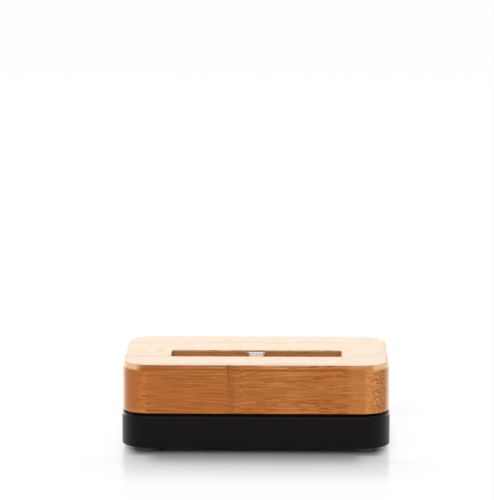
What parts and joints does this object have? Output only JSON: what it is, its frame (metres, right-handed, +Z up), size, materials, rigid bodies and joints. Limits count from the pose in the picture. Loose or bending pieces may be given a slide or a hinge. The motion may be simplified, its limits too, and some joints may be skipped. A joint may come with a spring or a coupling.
{
  "type": "charging dock",
  "caption": "Desk charging dock: bamboo block with a leaning device slot and a sprung charging plug, on a black weighted base with rubber feet.",
  "frame": {"origin": "centre of the footprint, on the plane that the four feet stand on", "axes": "+Z up, +X along the dock's length to the right as seen from the front, +Y to the back; the front face looks towards -Y and the slot leans back towards +Y"},
  "size_m": [0.1056, 0.0634, 0.0361],
  "materials": {
    "bamboo": "carbonised strip bamboo, satin oil",
    "silicone": "matte silicone",
    "black_shell": "fine matte",
    "black_plastic": "fine matte",
    "black_rubber": "matte",
    "steel": "zinc plated",
    "bright_steel": "bright nickel",
    "board_laminate": "green solder mask on glass laminate",
    "aluminium": "drawn can",
    "cream_nylon": "moulded",
    "red_lead": "insulated wire",
    "white_lead": "insulated wire",
    "green_lead": "insulated wire",
    "black_lead": "insulated wire"
  },
  "bodies": {
    "dock": {"bamboo_block": "bamboo", "seat_pad": "silicone", "base_housing": "black_shell", "bottom_cover": "black_plastic", "foot_front_left": "black_rubber", "foot_front_right": "black_rubber", "foot_rear_left": "black_rubber", "foot_rear_right": "black_rubber", "ballast_plate": "steel", "circuit_board": "board_laminate", "controller_chip": "black_plastic", "capacitor_front": "aluminium", "capacitor_rear": "aluminium", "lead_socket": "cream_nylon", "inlet_shell": "bright_steel", "inlet_tongue": "black_plastic", "connector_bracket": "bright_steel", "pivot_pin": "steel", "pin_clip": "bright_steel", "return_spring": "steel", "lead_red": "red_lead", "lead_white": "white_lead", "lead_green": "green_lead", "lead_black": "black_lead", "cover_screw_front_left": "steel", "cover_screw_front_right": "steel", "cover_screw_rear_left": "steel", "cover_screw_rear_right": "steel", "block_screw_front_left": "steel", "block_screw_front_right": "steel", "block_screw_rear_left": "steel", "block_screw_rear_right": "steel", "board_screw_front_left": "steel", "board_screw_front_right": "steel", "board_screw_rear_left": "steel", "board_screw_rear_right": "steel", "ballast_screw_left": "steel", "ballast_screw_right": "steel", "bracket_screw_left": "steel", "bracket_screw_right": "steel"},
    "plug": {"connector_rocker": "black_plastic", "plug_collar": "black_plastic", "plug_tongue": "bright_steel"}
  },
  "joints": [
    {"name": "plug_tilt", "type": "hinge", "parent": "dock", "child": "plug", "pos_m": [0, -0.00922, 0.0212], "axis": [1, 0, 0], "range_deg": [0, 12], "stiffness_Nm_per_rad": 0.04, "springref_deg": -11.46, "deforming": ["return_spring"]}
  ]
}
